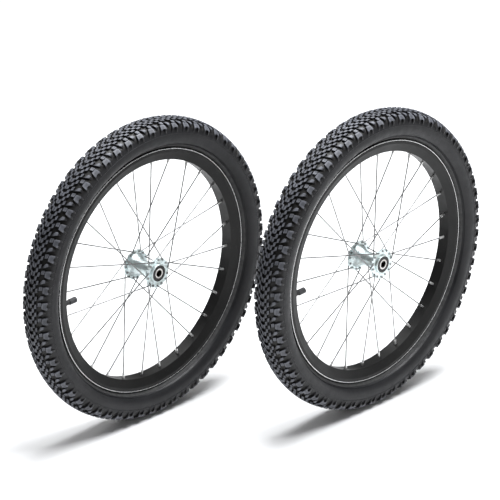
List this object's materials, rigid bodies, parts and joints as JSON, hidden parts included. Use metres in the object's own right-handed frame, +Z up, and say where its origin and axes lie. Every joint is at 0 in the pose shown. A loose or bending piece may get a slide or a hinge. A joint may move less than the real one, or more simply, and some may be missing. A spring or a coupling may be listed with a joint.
{
  "type": "bicycle trailer wheel pair",
  "caption": "Pair of small spoked trailer wheels with knobbly tyres, black double-wall rims, crossed spokes, zinc-plated steel hubs and sealed bearings with open axle bores.",
  "frame": {"origin": "centre of the left wheel's axle bore, midway between its bearing faces", "axes": "+Y along the left wheel's axle bore, +Z up, the side of the wheels with the valve in sight faces -Y"},
  "size_m": [0.805, 0.3, 0.52],
  "materials": {
    "tyre": "matt",
    "wire_steel": "plain",
    "tube_rubber": "matt",
    "tape": "matt",
    "rim_black": "black anodised",
    "nipple_silver": "nickel plated",
    "hub_zinc": "zinc plated",
    "bearing_steel": "ground",
    "valve_rubber": "matt",
    "brass": "machined",
    "cap_plastic": "matt",
    "spoke_steel": "zinc plated",
    "cage_steel": "pressed",
    "seal_rubber": "matt"
  },
  "bodies": {
    "left_axle_sleeve": {"left_near_inner_ring": "bearing_steel", "left_far_inner_ring": "bearing_steel", "left_spacer_tube": "bearing_steel"},
    "left_valve_cap": {"left_valve_cap": "cap_plastic"},
    "left_valve_pin": {"left_valve_pin": "brass"},
    "left_near_ball_set": {"left_near_balls": "bearing_steel", "left_near_cage": "cage_steel"},
    "left_far_ball_set": {"left_far_balls": "bearing_steel", "left_far_cage": "cage_steel"},
    "left_wheel": {"left_tyre": "tyre", "left_bead_wires": "wire_steel", "left_inner_tube": "tube_rubber", "left_rim_tape": "tape", "left_rim": "rim_black", "left_nipples": "nipple_silver", "left_hub_barrel": "hub_zinc", "left_valve_stem": "valve_rubber", "left_valve_core": "brass", "left_spokes_near_leading": "spoke_steel", "left_spokes_far_leading": "spoke_steel", "left_spokes_near_trailing": "spoke_steel", "left_spokes_far_trailing": "spoke_steel", "left_hub_flange_near": "hub_zinc", "left_hub_flange_far": "hub_zinc", "left_near_outer_ring": "bearing_steel", "left_near_seals": "seal_rubber", "left_far_outer_ring": "bearing_steel", "left_far_seals": "seal_rubber"},
    "right_axle_sleeve": {"right_near_inner_ring": "bearing_steel", "right_far_inner_ring": "bearing_steel", "right_spacer_tube": "bearing_steel"},
    "right_valve_cap": {"right_valve_cap": "cap_plastic"},
    "right_valve_pin": {"right_valve_pin": "brass"},
    "right_near_ball_set": {"right_near_balls": "bearing_steel", "right_near_cage": "cage_steel"},
    "right_far_ball_set": {"right_far_balls": "bearing_steel", "right_far_cage": "cage_steel"},
    "right_wheel": {"right_tyre": "tyre", "right_bead_wires": "wire_steel", "right_inner_tube": "tube_rubber", "right_rim_tape": "tape", "right_rim": "rim_black", "right_nipples": "nipple_silver", "right_hub_barrel": "hub_zinc", "right_valve_stem": "valve_rubber", "right_valve_core": "brass", "right_spokes_near_leading": "spoke_steel", "right_spokes_far_leading": "spoke_steel", "right_spokes_near_trailing": "spoke_steel", "right_spokes_far_trailing": "spoke_steel", "right_hub_flange_near": "hub_zinc", "right_hub_flange_far": "hub_zinc", "right_near_outer_ring": "bearing_steel", "right_near_seals": "seal_rubber", "right_far_outer_ring": "bearing_steel", "right_far_seals": "seal_rubber"}
  },
  "joints": [
    {"name": "left_wheel_spin", "type": "hinge", "parent": "left_axle_sleeve", "child": "left_wheel", "pos_m": [0, 0, 0], "axis": [0, 1, 0], "continuous": true},
    {"name": "left_near_cage_spin", "type": "hinge", "parent": "left_axle_sleeve", "child": "left_near_ball_set", "pos_m": [0, -0.026, 0], "axis": [0, 1, 0], "continuous": true},
    {"name": "left_far_cage_spin", "type": "hinge", "parent": "left_axle_sleeve", "child": "left_far_ball_set", "pos_m": [0, 0.026, 0], "axis": [0, 1, 0], "continuous": true},
    {"name": "left_valve_cap_off", "type": "slide", "parent": "left_wheel", "child": "left_valve_cap", "axis": [0.9994, 0, 0.0349], "range_m": [0, 0.03]},
    {"name": "left_valve_pin_press", "type": "slide", "parent": "left_wheel", "child": "left_valve_pin", "axis": [-0.9994, 0, -0.0349], "range_m": [0, 0.0015], "stiffness_N_per_m": 300},
    {"name": "right_wheel_apart", "type": "slide", "parent": "left_axle_sleeve", "child": "right_axle_sleeve", "axis": [1, 0, 0], "range_m": [0, 0.2]},
    {"name": "right_wheel_spin", "type": "hinge", "parent": "right_axle_sleeve", "child": "right_wheel", "pos_m": [0.285, -0.24, 0], "axis": [0, 1, 0], "continuous": true},
    {"name": "right_near_cage_spin", "type": "hinge", "parent": "right_axle_sleeve", "child": "right_near_ball_set", "pos_m": [0.285, -0.266, 0], "axis": [0, 1, 0], "continuous": true},
    {"name": "right_far_cage_spin", "type": "hinge", "parent": "right_axle_sleeve", "child": "right_far_ball_set", "pos_m": [0.285, -0.214, 0], "axis": [0, 1, 0], "continuous": true},
    {"name": "right_valve_cap_off", "type": "slide", "parent": "right_wheel", "child": "right_valve_cap", "axis": [0.9994, 0, 0.0349], "range_m": [0, 0.03]},
    {"name": "right_valve_pin_press", "type": "slide", "parent": "right_wheel", "child": "right_valve_pin", "axis": [-0.9994, 0, -0.0349], "range_m": [0, 0.0015], "stiffness_N_per_m": 300}
  ],
  "couplings": [
    {"joint": "left_near_cage_spin", "follows": "left_wheel_spin", "ratio": 0.61905},
    {"joint": "left_far_cage_spin", "follows": "left_wheel_spin", "ratio": 0.61905},
    {"joint": "right_near_cage_spin", "follows": "right_wheel_spin", "ratio": 0.61905},
    {"joint": "right_far_cage_spin", "follows": "right_wheel_spin", "ratio": 0.61905}
  ]
}
